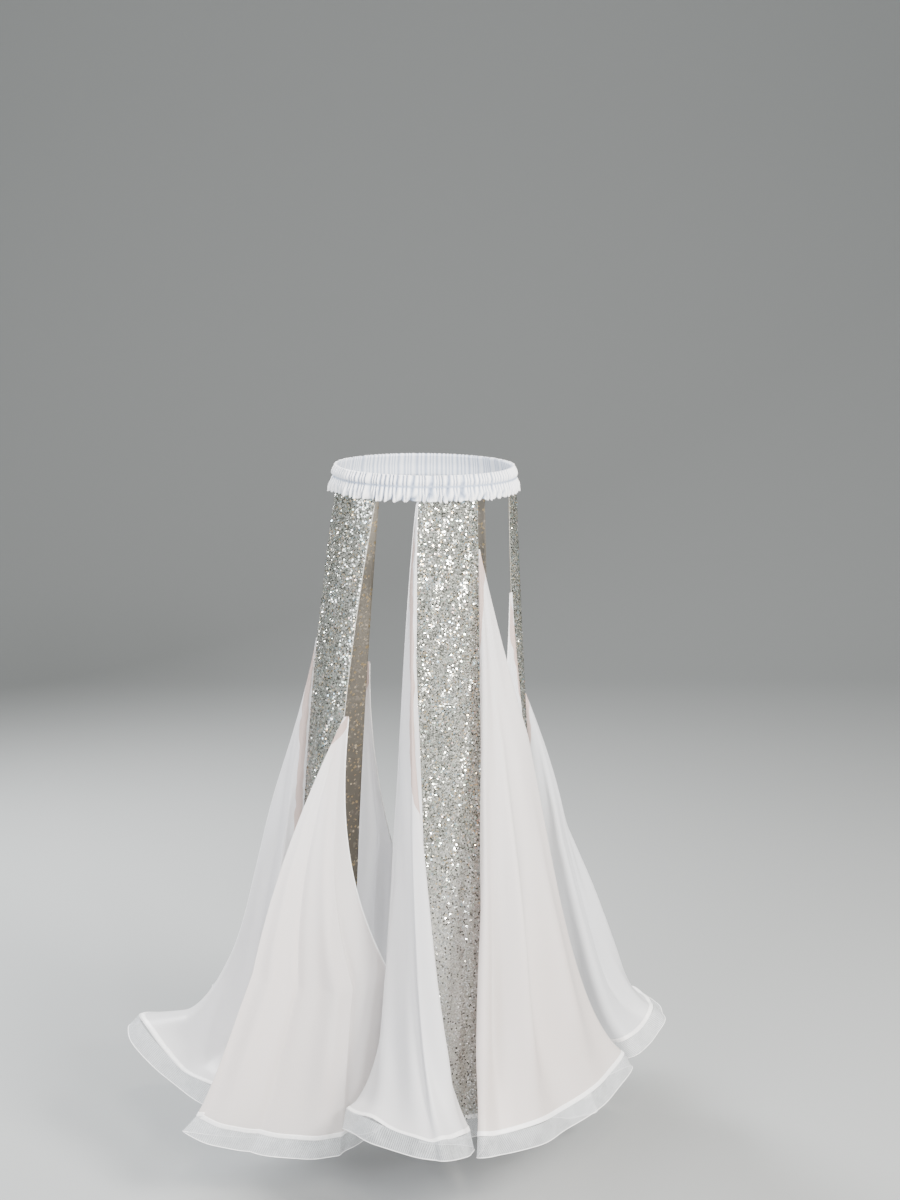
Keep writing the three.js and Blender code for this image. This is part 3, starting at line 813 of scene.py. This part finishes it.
def waistband_surface(settings):
    """Closed ring (angle, place round the profile).

    Outer face at v from 0 (top) to 1 (foot): wall / 2 + 1.5 swell sin^2(2 pi v) - lean + A(v) w(angle).
    w is |cos| of an uneven phase, so the gathers are round with sharp valleys. Below v = 0.56 the edge
    frills.
    """
    rng = np.random.default_rng(11)
    turn = 2 * np.pi * np.arange(BAND_SAMPLES) / BAND_SAMPLES
    phase = settings.gathers * turn
    frill = FRILL_PITCH * settings.gathers * turn
    uneven = np.zeros(BAND_SAMPLES)
    for k in rng.integers(4, 60, GATHER_WAVES):
        wave = np.sin(k * turn + rng.uniform(0, 2 * np.pi))
        phase = phase + wave * rng.uniform(0.2, 0.9)
        frill = frill + wave * rng.uniform(0.2, 0.8)
        uneven = uneven + wave / GATHER_WAVES
    v = np.linspace(0, 1, BAND_OUTER_ROWS)[:, None]
    up = BAND_HEIGHT / 2 * (1 - 2 * v)
    lean = BAND_TURN_IN * np.maximum(up, 0) / (BAND_HEIGHT / 2)
    edge = smooth_step(FRILL_FROM, 1.0, v)
    pinch = 1 - 0.9 * np.exp(-(((v - STITCH_AT) / STITCH_SPREAD) ** 2))
    out = BAND_WALL / 2 + 1.5 * CHANNEL_SWELL * np.sin(2 * np.pi * v) ** 2 - lean
    slant = GATHER_SLANT * v
    gather = np.abs(np.cos((phase + slant) / 2)) ** GATHER_ROUND - GATHER_MIDDLE
    ruffle = np.abs(np.cos((frill + 3 * slant) / 2)) ** GATHER_ROUND - 0.45
    strong = settings.depth / MM * (1 + 1.6 * uneven)
    frilled = settings.ruffle / MM * (1 + 1.8 * uneven)
    outer = out + strong * gather * pinch + (frilled * ruffle + 1.2) * edge
    outer_up = up - (1.6 + 3.4 * ruffle * (1 + 2 * uneven)) * edge
    outer_up = outer_up + 1.1 * gather * (1 - smooth_step(0.0, 0.12, v))
    w = np.linspace(1, 0, BAND_INNER_ROWS)[:, None]
    inner_up = BAND_HEIGHT / 2 * (1 - 2 * w)
    behind = np.abs(np.cos(phase / 2)) - GATHER_MIDDLE
    inner = -BAND_WALL / 2 - BAND_TURN_IN * np.maximum(inner_up, 0) / (BAND_HEIGHT / 2)
    inner = inner + 0.5 * behind
    offset = np.concatenate([outer, inner])
    height = np.concatenate([outer_up, np.broadcast_to(inner_up, inner.shape)])
    middle = waist_point(np.degrees(turn))
    outward = unit(middle / np.array([WAIST_HALF_WIDTH**2, WAIST_HALF_DEPTH**2]))
    flat = middle + outward * offset[..., None]
    z = height - FRONT_DIP * np.cos(turn)
    points = np.concatenate([flat, z[..., None]], axis=-1)
    rows = len(points)
    faces = grid_faces(rows, BAND_SAMPLES, close_rows=True, close_columns=True)
    uv = np.stack(np.broadcast_arrays(turn * 0.12, np.linspace(0, 0.08, rows)[:, None]), axis=-1)
    # Painted shade: darker in the gather valleys, the frill's folds and along the stitch line; the inner
    # face below gets a middle shade.
    painted_gather_shade = 0.6 + gather * pinch * (1 - edge) + ruffle * edge * 0.8 - 0.3 * (1 - pinch)
    plain = np.broadcast_to(0.55 + 0.4 * behind, inner.shape)
    return points.reshape(-1, 3), faces, uv.reshape(-1, 2), np.concatenate([painted_gather_shade, plain])


def panel_surface(panel, shares, ripple):
    """Middle surface of a panel, panel_grid + normal ripple depth(u, s), and its outward normals."""
    points = panel_grid(panel, PANEL_ACROSS, shares)
    normal = surface_normals(points)
    depth = crease_depth(PANEL_RIPPLES[panel["name"]], PANEL_ACROSS, shares) * ripple
    points = points + normal * depth[..., None]
    return points, surface_normals(points)


class SKIRT_OT_panels(bpy.types.Operator):
    """Add the five panels of sequin cloth, without their sequins"""

    bl_idname = "skirt.panels"
    bl_label = "Sequin panels"

    def execute(self, context):
        ripple = context.scene.skirt_panels.ripple
        ground = sequin_ground()
        wrong_side = sequin_wrong_side()
        for panel in PANELS:
            points, normal = panel_surface(panel, PANEL_DOWN, ripple)
            half = normal * PANEL_SHELL / 2
            loop = np.concatenate([points + half, (points - half)[:, ::-1]], axis=1)
            faces = grid_faces(PANEL_ROWS, 2 * PANEL_COLUMNS, close_columns=True)
            column = np.tile(np.arange(2 * PANEL_COLUMNS), PANEL_ROWS - 1)
            slots = (column >= PANEL_COLUMNS).astype(int)
            i = np.arange(PANEL_COLUMNS - 1)
            j = 2 * PANEL_COLUMNS - 1 - i
            top = np.stack([i, i + 1, j - 1, j], axis=-1)
            foot = (top + (PANEL_ROWS - 1) * 2 * PANEL_COLUMNS)[:, ::-1]
            faces = np.concatenate([faces, top, foot])
            slots = np.concatenate([slots, np.zeros(2 * len(top), dtype=int)])
            uv = cloth_lengths(loop)
            name = f"panel_cloth_{panel['name']}"
            cloth = add_object(name, loop.reshape(-1, 3), faces, [ground, wrong_side], uv, slots)
            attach(cloth, "root")
            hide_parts(f"panel_{panel['name']}")
        return {"FINISHED"}


class SKIRT_OT_sequins(bpy.types.Operator):
    """Sew the sequins on the panels"""

    bl_idname = "skirt.sequins"
    bl_label = "Sequins"

    def execute(self, context):
        settings = context.scene.skirt_sequins
        material = silver_sequin()
        for number, panel in enumerate(PANELS):
            if f"panel_cloth_{panel['name']}" not in bpy.data.objects:
                self.report({"ERROR"}, "Add the sequin panels first")
                raise RuntimeError("the sequins need their panels")
            vertices, faces, tones = sequin_field(panel, number, settings, context.scene.skirt_panels.ripple)
            sewn = add_object(f"sequins_{panel['name']}", vertices, faces, [material], smooth=False)
            face_colours(sewn, "tone", tones)
            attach(sewn, "root")
        return {"FINISHED"}


def sequin_field(panel, number, settings, ripple):
    """Six-sided discs in staggered rows, c + r (cos a e1 + sin a e2), each leaning by its own small angle.

    The discs overlap downward like scales. Some lean much more than the rest and catch the light.
    """
    rng = np.random.default_rng(100 + number)
    points, normal = panel_surface(panel, PANEL_DOWN, ripple)
    spacing = settings.spacing / MM
    radius = settings.radius / MM
    rows = int(CLOTH_LENGTH / spacing)
    columns = int(SEQUINED_WIDTH / spacing)
    u, s = np.meshgrid((np.arange(columns) + 0.5) / columns, (np.arange(rows) + 0.6) / rows)
    u = u + np.where(np.arange(rows) % 2, 0.25, -0.25)[:, None] / columns
    u = np.clip((u + rng.normal(0, SEQUIN_JITTER, u.shape) / columns).ravel(), 0.016, 0.984)
    s = np.clip((s + rng.normal(0, SEQUIN_JITTER, s.shape) / rows).ravel(), 0.002, 0.9985)
    if panel["name"] == "front":
        kept = rng.random(len(s)) > SPARSE_SHARE * smooth_step(0.5, 0.8, s)
        u, s = u[kept], s[kept]
    x = u * (PANEL_COLUMNS - 1)
    y = s * (PANEL_ROWS - 1)
    i = np.minimum(x.astype(int), PANEL_COLUMNS - 2)
    j = np.minimum(y.astype(int), PANEL_ROWS - 2)
    a = (x - i)[:, None]
    b = (y - j)[:, None]

    def sample(field):
        upper = field[j, i] * (1 - a) + field[j, i + 1] * a
        lower = field[j + 1, i] * (1 - a) + field[j + 1, i + 1] * a
        return upper * (1 - b) + lower * b

    centre = sample(points)
    out = unit(sample(normal))
    side = sample(np.gradient(points, axis=1))
    side = unit(side - out * (side * out).sum(axis=-1, keepdims=True))
    down = np.cross(side, out)
    loose = rng.random(len(u)) < LOOSE_SHARE
    spread = settings.tilt * np.where(loose, LOOSE_LEAN, 1.0)
    slopes = []
    for _ in range(2):
        lean = rng.normal(0, 1, len(u)) * spread + lean_field(rng, u, s)
        slopes.append(np.tan(np.clip(lean, -MOST_LEAN, MOST_LEAN))[:, None])
    e1 = unit(side + out * slopes[1])
    e2 = down + out * slopes[0]
    e2 = unit(e2 - e1 * (e2 * e1).sum(axis=-1, keepdims=True))
    reach = radius * rng.uniform(0.9, 1.05, len(u))
    angle = np.arange(6) * np.pi / 3 + rng.uniform(0, np.pi / 3, len(u))[:, None]
    rim = e1[:, None] * np.cos(angle)[..., None] + e2[:, None] * np.sin(angle)[..., None]
    lift = rng.uniform(0.75, 1.25, len(u))[:, None]
    vertices = (centre + out * lift)[:, None] + rim * reach[:, None, None]
    faces = np.arange(len(u) * 6).reshape(-1, 6)
    facing = (np.cross(e1, e2) * out).sum(axis=-1) < 0
    faces[facing] = faces[facing][:, ::-1]
    tones = pick_tones(rng, SEQUIN_TONES, len(u))
    if panel["name"] == "front":
        low = rng.random(len(s)) < smooth_step(0.5, 0.72, s)
        tones[low] = pick_tones(rng, SPARSE_TONES, low.sum())
    return vertices.reshape(-1, 3), faces, tones


def pick_tones(rng, tones, count):
    """Linear colours drawn at random by their shares."""
    shares = np.array([share for share, _ in tones])
    palette = np.array([linear(colour) for _, colour in tones])
    return palette[rng.choice(len(palette), count, p=shares / shares.sum())]


def lean_field(rng, u, s):
    """Lean shared by neighbouring discs, in long streaks: sum of sin(2 pi (k u + l s) + t)."""
    total = np.zeros(len(u))
    for _ in range(5):
        k, l, t = rng.uniform(1.0, 5.0), rng.uniform(2.0, 11.0), rng.uniform(0, 2 * np.pi)
        total += np.sin(2 * np.pi * (k * u + l * s) + t)
    return total * STREAK_LEAN / 2.2


def godet_surface(index, shares, crease):
    """Middle surface of a godet, godet_grid + normal (crease depth + wander)(u, s), and its normals."""
    godet = GODETS[index]
    side = 1 if index % 2 == 0 else -1
    points = godet_grid(index, GODET_ACROSS, shares)
    normal = surface_normals(points, side)
    depth = crease_depth(CREASES[godet["name"]], GODET_ACROSS, shares) * crease
    opening = smooth_step(godet["start"], godet["start"] + 0.3, shares)[:, None]
    depth = depth + wander(GODET_ACROSS, shares, 40 + index, GODET_WANDER * crease) * opening
    points = points + normal * depth[..., None]
    return points, surface_normals(points, side)


class SKIRT_OT_godets(bpy.types.Operator):
    """Add the ten chiffon godets and the rolled edges beside the slits"""

    bl_idname = "skirt.godets"
    bl_label = "Chiffon godets"

    def execute(self, context):
        settings = context.scene.skirt_godets
        material = chiffon(settings.opacity)
        edges = []
        for index, godet in enumerate(GODETS):
            gap, _, _ = godet_place(index)
            shares = np.linspace(godet["start"], 1, GODET_ROWS)
            points, _ = godet_surface(index, shares, settings.crease)
            faces = grid_faces(GODET_ROWS, GODET_COLUMNS)
            if index % 2:
                faces = faces[:, ::-1]
            uv = cloth_lengths(points)
            cloth = add_object(f"godet_cloth_{godet['name']}", points.reshape(-1, 3), faces, [material], uv)
            # Painted gold light: a yellowish tint, set for each godet and stronger low down, for the gold
            # figure's light behind the cloth.
            painted_gold_light = np.broadcast_to((godet["warm"] * (0.35 + 0.65 * shares))[:, None], points.shape[:2])
            point_values(cloth, "painted_gold_light", painted_gold_light)
            beyond = uv[:, 0].reshape(points.shape[:2]) / MM
            seam = round(godet["allowance"] * (GODET_COLUMNS - 1))
            # Low down, where the cloth hides it, the strip of the centre front godet ends.
            gone = 60 * smooth_step(0.45, 0.65, shares)[:, None] * (seam > 0)
            point_values(cloth, "allowance", beyond - beyond[:, [seam]] - ALLOWANCE + gone)
            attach(cloth, "root")
            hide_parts(f"godet_{godet['name']}")
            edges.append(points[shares <= gap["foot"], -1])
        rolled = add_object("rolled_edges", *tubes(edges, ROLLED_RADIUS), [hem_satin()])
        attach(rolled, "root")
        return {"FINISHED"}


def hem_lines(shares, crease, ripple):
    """Rows of every piece at the given shares, with outward normals: (name, points, normals, reversed)."""
    rows = []
    for panel in PANELS:
        points, normal = panel_surface(panel, shares, ripple)
        rows.append((f"panel_{panel['name']}", points, normal, False))
    for index, godet in enumerate(GODETS):
        points, normal = godet_surface(index, shares, crease)
        rows.append((f"godet_{godet['name']}", points, normal, index % 2 == 1))
    return rows


class SKIRT_OT_braid(bpy.types.Operator):
    """Add the horsehair braid, its outer cord and the turned hem above it"""

    bl_idname = "skirt.braid"
    bl_label = "Braided hem"

    def execute(self, context):
        settings = context.scene.skirt_braid
        roll_place = 1 - np.array([ROLL_TOP, ROLL_HALF_WIDTH]) / CLOTH_LENGTH
        shares = np.concatenate([roll_place, np.linspace(1, BRAID_FOOT, 6)])
        rows = hem_lines(shares, context.scene.skirt_godets.crease, context.scene.skirt_panels.ripple)
        satin = hem_satin()
        vertices, faces, uvs, nodes, feet, rolls = [], [], [], [], [], []
        count = 0
        for name, points, normal, flip in rows:
            length = points[2:]
            quads = grid_faces(len(length), length.shape[1], offset=count)
            faces.append(quads[:, ::-1] if flip else quads)
            vertices.append(length.reshape(-1, 3))
            uvs.append(cloth_lengths(length))
            nodes.append(f"braid_{name}")
            feet.append(points[-1])
            rolls.append((points[1], normal[1], points[2] - points[0]))
            count += length.shape[0] * length.shape[1]
        vertices, faces, uv = [np.concatenate(part) for part in (vertices, faces, uvs)]
        braid = add_object("braid_net", vertices, faces, [horsehair(settings.opacity)], uv)
        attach(braid, "root")
        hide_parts(*nodes)
        cord = add_object("braid_cord", *tubes(feet, settings.cord / MM, 6), [satin])
        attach(cord, "root")
        roll = add_object("turned_hem", *hem_rolls(rolls), [satin])
        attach(roll, "root")
        return {"FINISHED"}


def hem_rolls(rolls):
    """Flat double roll along each hem: 3.4 cos a down the cloth, sin a (0.85 + 0.4 cos 2a) out of it."""
    angle = 2 * np.pi * np.arange(12) / 12
    along_cloth = (ROLL_HALF_WIDTH * np.cos(angle))[:, None]
    out_of_cloth = (np.sin(angle) * (0.85 + 0.4 * np.cos(2 * angle)))[:, None]
    lines, offsets, flips = [], [], []
    for line, normal, down in rolls:
        down = unit(down)
        way = np.cross(down, normal)[len(line) // 2] @ (line[-1] - line[0])
        lines.append(line)
        offsets.append(down[:, None] * along_cloth + normal[:, None] * out_of_cloth)
        flips.append(way >= 0)
    return rings(lines, offsets, ROLL_TIP, flips)


class SKIRT_OT_stage(bpy.types.Operator):
    """Add the floor, backdrop, lights and camera"""

    bl_idname = "skirt.stage"
    bl_label = "Stage"

    def execute(self, context):
        settings = context.scene.skirt_stage
        forward = Vector((math.sin(VIEW_TURN), math.cos(VIEW_TURN), 0))
        right = Vector((math.cos(VIEW_TURN), -math.sin(VIEW_TURN), 0))
        floor = add_object("studio_floor", *backdrop(forward, right, settings.floor), [painted_floor()])
        world = bpy.data.worlds.new("studio")
        context.scene.world = world
        world.use_nodes = True
        sky = world.node_tree.nodes["Background"].inputs
        sky["Color"].default_value = linear("#f0f2f1")
        sky["Strength"].default_value = SKY_STRENGTH
        lamps = [
            # name, back, right, up (m), size (m), share of the key's power, colour
            ("key", -1.8, 1.9, 1.5, 1.0, 1.0, "#fffaf3"),
            ("fill", -2.3, -1.9, 0.8, 1.8, 0.36, "#f4f6fc"),
            ("rim", 1.5, -1.5, 1.0, 1.1, 0.65, "#ffffff"),
            ("spark", -2.4, 0.3, 1.9, 0.2, 0.2, "#fff3e0"),
            ("spark_low", -2.2, 0.7, 0.5, 0.16, 0.12, "#ffffff"),
        ]
        for name, back, across, up, size, share, colour in lamps:
            spot = forward * back + right * across + Vector((0, 0, up))
            light = bpy.data.lights.new(name, "AREA")
            light.shape = "DISK"
            light.size = size
            light.energy = settings.key * share
            light.color = linear(colour)[:3]
            lamp = bpy.data.objects.new(name, light)
            lamp.location = spot
            lamp.rotation_euler = (LAMP_TARGET - spot).to_track_quat("-Z", "Y").to_euler()
            context.collection.objects.link(lamp)
        lens = bpy.data.cameras.new("camera")
        lens.sensor_fit = "VERTICAL"
        lens.sensor_height = 36
        lens.sensor_width = 27
        lens.lens = CAMERA_LENS
        camera = bpy.data.objects.new("camera", lens)
        camera.location = -forward * CAMERA_DISTANCE + Vector((0, 0, CAMERA_HEIGHT))
        level = forward * math.cos(CAMERA_YAW) + right * math.sin(CAMERA_YAW)
        look = level * math.cos(CAMERA_PITCH) - Vector((0, 0, math.sin(CAMERA_PITCH)))
        camera.rotation_euler = look.to_track_quat("-Z", "Y").to_euler()
        context.collection.objects.link(camera)
        context.scene.camera = camera
        return {"FINISHED"}


def backdrop(forward, right, floor):
    """Floor that turns up behind the skirt in a quarter circle of 2.5 m radius."""
    radius = 2.5
    turn = np.linspace(0, np.pi / 2, 25)
    far = np.concatenate([[-6.0], 3.5 + radius * np.sin(turn), [3.5 + radius]])
    high = np.concatenate([[0.0], radius * (1 - np.cos(turn)), [4.5]])
    across = np.array([-8.0, 8.0])
    points = np.array(forward) * far[:, None, None] + np.array(right) * across[:, None]
    points = points + np.array([0, 0, 1.0]) * (floor + high)[:, None, None]
    return points.reshape(-1, 3) / MM, grid_faces(len(far), 2)[:, ::-1]


class SKIRT_PT_sidebar(bpy.types.Panel):
    bl_label = "Belly Dance Skirt"
    bl_idname = "SKIRT_PT_sidebar"
    bl_space_type = "VIEW_3D"
    bl_region_type = "UI"
    bl_category = "Skirt"

    def draw(self, context):
        for name, operator, group in STEPS:
            box = self.layout.box()
            box.operator(operator.bl_idname)
            for setting in group.__annotations__:
                box.prop(getattr(context.scene, name), setting)


# Scene property of the settings, operator and settings.
STEPS = [
    ("skirt_waistband", SKIRT_OT_waistband, SKIRT_PG_waistband),
    ("skirt_panels", SKIRT_OT_panels, SKIRT_PG_panels),
    ("skirt_sequins", SKIRT_OT_sequins, SKIRT_PG_sequins),
    ("skirt_godets", SKIRT_OT_godets, SKIRT_PG_godets),
    ("skirt_braid", SKIRT_OT_braid, SKIRT_PG_braid),
    ("skirt_stage", SKIRT_OT_stage, SKIRT_PG_stage),
]


def register():
    for name, operator, group in STEPS:
        bpy.utils.register_class(group)
        bpy.utils.register_class(operator)
        setattr(bpy.types.Scene, name, PointerProperty(type=group))
    bpy.utils.register_class(SKIRT_PT_sidebar)


def unregister():
    bpy.utils.unregister_class(SKIRT_PT_sidebar)
    for name, operator, group in reversed(STEPS):
        delattr(bpy.types.Scene, name)
        bpy.utils.unregister_class(operator)
        bpy.utils.unregister_class(group)


def plain(bounds):
    """Bounds as plain lists."""
    return [[float(value) for value in corner] for corner in bounds]


def main():
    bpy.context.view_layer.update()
    register()
    bpy.ops.skirt.waistband()
    bpy.ops.skirt.panels()
    bpy.ops.skirt.sequins()
    bpy.ops.skirt.godets()
    bpy.ops.skirt.braid()
    bpy.ops.skirt.stage()


if __name__ == "__main__":
    main()
